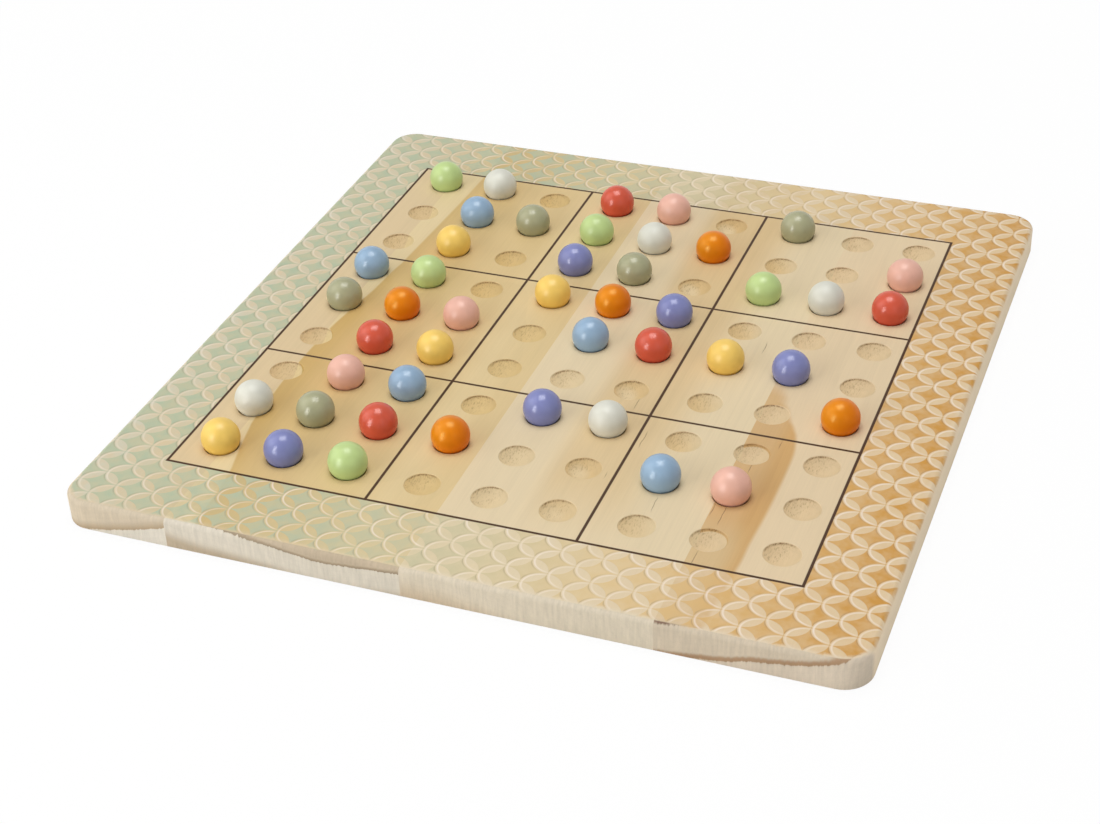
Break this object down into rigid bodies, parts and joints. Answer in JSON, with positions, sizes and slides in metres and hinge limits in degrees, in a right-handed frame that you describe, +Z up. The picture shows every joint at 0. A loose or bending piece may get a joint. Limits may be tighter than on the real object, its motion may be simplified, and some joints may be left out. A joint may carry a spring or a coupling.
{
  "type": "sudoku board",
  "caption": "Flat wooden sudoku board, edge-glued and round-cornered, with shallow round hollows in a block grid and loose painted balls that sit in them.",
  "frame": {"origin": "under the middle of the board, on the surface that it lies on", "axes": "+X to the player's right, across the grain; +Y away from the player, along the grain; +Z up"},
  "size_m": [0.305, 0.3134, 0.0236],
  "materials": {
    "pine": "sanded pale pine, printed rim and grid lines, clear matt lacquer",
    "green_paint": "turned wooden ball, green gloss paint",
    "white_paint": "turned wooden ball, white gloss paint",
    "red_paint": "turned wooden ball, red gloss paint",
    "pink_paint": "turned wooden ball, pink gloss paint",
    "sage_paint": "turned wooden ball, sage gloss paint",
    "blue_paint": "turned wooden ball, blue gloss paint",
    "orange_paint": "turned wooden ball, orange gloss paint",
    "yellow_paint": "turned wooden ball, yellow gloss paint",
    "violet_paint": "turned wooden ball, violet gloss paint"
  },
  "bodies": {
    "board": {"stave_left": "pine", "stave_middle_left": "pine", "stave_middle_right": "pine", "stave_right": "pine"},
    "ball_green_1": {"ball_green_1": "green_paint"},
    "ball_green_2": {"ball_green_2": "green_paint"},
    "ball_green_3": {"ball_green_3": "green_paint"},
    "ball_green_4": {"ball_green_4": "green_paint"},
    "ball_green_5": {"ball_green_5": "green_paint"},
    "ball_white_1": {"ball_white_1": "white_paint"},
    "ball_white_2": {"ball_white_2": "white_paint"},
    "ball_white_3": {"ball_white_3": "white_paint"},
    "ball_white_4": {"ball_white_4": "white_paint"},
    "ball_white_5": {"ball_white_5": "white_paint"},
    "ball_red_1": {"ball_red_1": "red_paint"},
    "ball_red_2": {"ball_red_2": "red_paint"},
    "ball_red_3": {"ball_red_3": "red_paint"},
    "ball_red_4": {"ball_red_4": "red_paint"},
    "ball_red_5": {"ball_red_5": "red_paint"},
    "ball_pink_1": {"ball_pink_1": "pink_paint"},
    "ball_pink_2": {"ball_pink_2": "pink_paint"},
    "ball_pink_3": {"ball_pink_3": "pink_paint"},
    "ball_pink_4": {"ball_pink_4": "pink_paint"},
    "ball_pink_5": {"ball_pink_5": "pink_paint"},
    "ball_sage_1": {"ball_sage_1": "sage_paint"},
    "ball_sage_2": {"ball_sage_2": "sage_paint"},
    "ball_sage_3": {"ball_sage_3": "sage_paint"},
    "ball_sage_4": {"ball_sage_4": "sage_paint"},
    "ball_sage_5": {"ball_sage_5": "sage_paint"},
    "ball_blue_1": {"ball_blue_1": "blue_paint"},
    "ball_blue_2": {"ball_blue_2": "blue_paint"},
    "ball_blue_3": {"ball_blue_3": "blue_paint"},
    "ball_blue_4": {"ball_blue_4": "blue_paint"},
    "ball_blue_5": {"ball_blue_5": "blue_paint"},
    "ball_orange_1": {"ball_orange_1": "orange_paint"},
    "ball_orange_2": {"ball_orange_2": "orange_paint"},
    "ball_orange_3": {"ball_orange_3": "orange_paint"},
    "ball_orange_4": {"ball_orange_4": "orange_paint"},
    "ball_orange_5": {"ball_orange_5": "orange_paint"},
    "ball_yellow_1": {"ball_yellow_1": "yellow_paint"},
    "ball_yellow_2": {"ball_yellow_2": "yellow_paint"},
    "ball_yellow_3": {"ball_yellow_3": "yellow_paint"},
    "ball_yellow_4": {"ball_yellow_4": "yellow_paint"},
    "ball_yellow_5": {"ball_yellow_5": "yellow_paint"},
    "ball_violet_1": {"ball_violet_1": "violet_paint"},
    "ball_violet_2": {"ball_violet_2": "violet_paint"},
    "ball_violet_3": {"ball_violet_3": "violet_paint"},
    "ball_violet_4": {"ball_violet_4": "violet_paint"},
    "ball_violet_5": {"ball_violet_5": "violet_paint"}
  },
  "joints": [
    {"name": "lift_green_1", "type": "slide", "parent": "board", "child": "ball_green_1", "axis": [0, 0, 1], "range_m": [0, 0.04]},
    {"name": "lift_green_2", "type": "slide", "parent": "board", "child": "ball_green_2", "axis": [0, 0, 1], "range_m": [0, 0.04]},
    {"name": "lift_green_3", "type": "slide", "parent": "board", "child": "ball_green_3", "axis": [0, 0, 1], "range_m": [0, 0.04]},
    {"name": "lift_green_4", "type": "slide", "parent": "board", "child": "ball_green_4", "axis": [0, 0, 1], "range_m": [0, 0.04]},
    {"name": "lift_green_5", "type": "slide", "parent": "board", "child": "ball_green_5", "axis": [0, 0, 1], "range_m": [0, 0.04]},
    {"name": "lift_white_1", "type": "slide", "parent": "board", "child": "ball_white_1", "axis": [0, 0, 1], "range_m": [0, 0.04]},
    {"name": "lift_white_2", "type": "slide", "parent": "board", "child": "ball_white_2", "axis": [0, 0, 1], "range_m": [0, 0.04]},
    {"name": "lift_white_3", "type": "slide", "parent": "board", "child": "ball_white_3", "axis": [0, 0, 1], "range_m": [0, 0.04]},
    {"name": "lift_white_4", "type": "slide", "parent": "board", "child": "ball_white_4", "axis": [0, 0, 1], "range_m": [0, 0.04]},
    {"name": "lift_white_5", "type": "slide", "parent": "board", "child": "ball_white_5", "axis": [0, 0, 1], "range_m": [0, 0.04]},
    {"name": "lift_red_1", "type": "slide", "parent": "board", "child": "ball_red_1", "axis": [0, 0, 1], "range_m": [0, 0.04]},
    {"name": "lift_red_2", "type": "slide", "parent": "board", "child": "ball_red_2", "axis": [0, 0, 1], "range_m": [0, 0.04]},
    {"name": "lift_red_3", "type": "slide", "parent": "board", "child": "ball_red_3", "axis": [0, 0, 1], "range_m": [0, 0.04]},
    {"name": "lift_red_4", "type": "slide", "parent": "board", "child": "ball_red_4", "axis": [0, 0, 1], "range_m": [0, 0.04]},
    {"name": "lift_red_5", "type": "slide", "parent": "board", "child": "ball_red_5", "axis": [0, 0, 1], "range_m": [0, 0.04]},
    {"name": "lift_pink_1", "type": "slide", "parent": "board", "child": "ball_pink_1", "axis": [0, 0, 1], "range_m": [0, 0.04]},
    {"name": "lift_pink_2", "type": "slide", "parent": "board", "child": "ball_pink_2", "axis": [0, 0, 1], "range_m": [0, 0.04]},
    {"name": "lift_pink_3", "type": "slide", "parent": "board", "child": "ball_pink_3", "axis": [0, 0, 1], "range_m": [0, 0.04]},
    {"name": "lift_pink_4", "type": "slide", "parent": "board", "child": "ball_pink_4", "axis": [0, 0, 1], "range_m": [0, 0.04]},
    {"name": "lift_pink_5", "type": "slide", "parent": "board", "child": "ball_pink_5", "axis": [0, 0, 1], "range_m": [0, 0.04]},
    {"name": "lift_sage_1", "type": "slide", "parent": "board", "child": "ball_sage_1", "axis": [0, 0, 1], "range_m": [0, 0.04]},
    {"name": "lift_sage_2", "type": "slide", "parent": "board", "child": "ball_sage_2", "axis": [0, 0, 1], "range_m": [0, 0.04]},
    {"name": "lift_sage_3", "type": "slide", "parent": "board", "child": "ball_sage_3", "axis": [0, 0, 1], "range_m": [0, 0.04]},
    {"name": "lift_sage_4", "type": "slide", "parent": "board", "child": "ball_sage_4", "axis": [0, 0, 1], "range_m": [0, 0.04]},
    {"name": "lift_sage_5", "type": "slide", "parent": "board", "child": "ball_sage_5", "axis": [0, 0, 1], "range_m": [0, 0.04]},
    {"name": "lift_blue_1", "type": "slide", "parent": "board", "child": "ball_blue_1", "axis": [0, 0, 1], "range_m": [0, 0.04]},
    {"name": "lift_blue_2", "type": "slide", "parent": "board", "child": "ball_blue_2", "axis": [0, 0, 1], "range_m": [0, 0.04]},
    {"name": "lift_blue_3", "type": "slide", "parent": "board", "child": "ball_blue_3", "axis": [0, 0, 1], "range_m": [0, 0.04]},
    {"name": "lift_blue_4", "type": "slide", "parent": "board", "child": "ball_blue_4", "axis": [0, 0, 1], "range_m": [0, 0.04]},
    {"name": "lift_blue_5", "type": "slide", "parent": "board", "child": "ball_blue_5", "axis": [0, 0, 1], "range_m": [0, 0.04]},
    {"name": "lift_orange_1", "type": "slide", "parent": "board", "child": "ball_orange_1", "axis": [0, 0, 1], "range_m": [0, 0.04]},
    {"name": "lift_orange_2", "type": "slide", "parent": "board", "child": "ball_orange_2", "axis": [0, 0, 1], "range_m": [0, 0.04]},
    {"name": "lift_orange_3", "type": "slide", "parent": "board", "child": "ball_orange_3", "axis": [0, 0, 1], "range_m": [0, 0.04]},
    {"name": "lift_orange_4", "type": "slide", "parent": "board", "child": "ball_orange_4", "axis": [0, 0, 1], "range_m": [0, 0.04]},
    {"name": "lift_orange_5", "type": "slide", "parent": "board", "child": "ball_orange_5", "axis": [0, 0, 1], "range_m": [0, 0.04]},
    {"name": "lift_yellow_1", "type": "slide", "parent": "board", "child": "ball_yellow_1", "axis": [0, 0, 1], "range_m": [0, 0.04]},
    {"name": "lift_yellow_2", "type": "slide", "parent": "board", "child": "ball_yellow_2", "axis": [0, 0, 1], "range_m": [0, 0.04]},
    {"name": "lift_yellow_3", "type": "slide", "parent": "board", "child": "ball_yellow_3", "axis": [0, 0, 1], "range_m": [0, 0.04]},
    {"name": "lift_yellow_4", "type": "slide", "parent": "board", "child": "ball_yellow_4", "axis": [0, 0, 1], "range_m": [0, 0.04]},
    {"name": "lift_yellow_5", "type": "slide", "parent": "board", "child": "ball_yellow_5", "axis": [0, 0, 1], "range_m": [0, 0.04]},
    {"name": "lift_violet_1", "type": "slide", "parent": "board", "child": "ball_violet_1", "axis": [0, 0, 1], "range_m": [0, 0.04]},
    {"name": "lift_violet_2", "type": "slide", "parent": "board", "child": "ball_violet_2", "axis": [0, 0, 1], "range_m": [0, 0.04]},
    {"name": "lift_violet_3", "type": "slide", "parent": "board", "child": "ball_violet_3", "axis": [0, 0, 1], "range_m": [0, 0.04]},
    {"name": "lift_violet_4", "type": "slide", "parent": "board", "child": "ball_violet_4", "axis": [0, 0, 1], "range_m": [0, 0.04]},
    {"name": "lift_violet_5", "type": "slide", "parent": "board", "child": "ball_violet_5", "axis": [0, 0, 1], "range_m": [0, 0.04]}
  ]
}
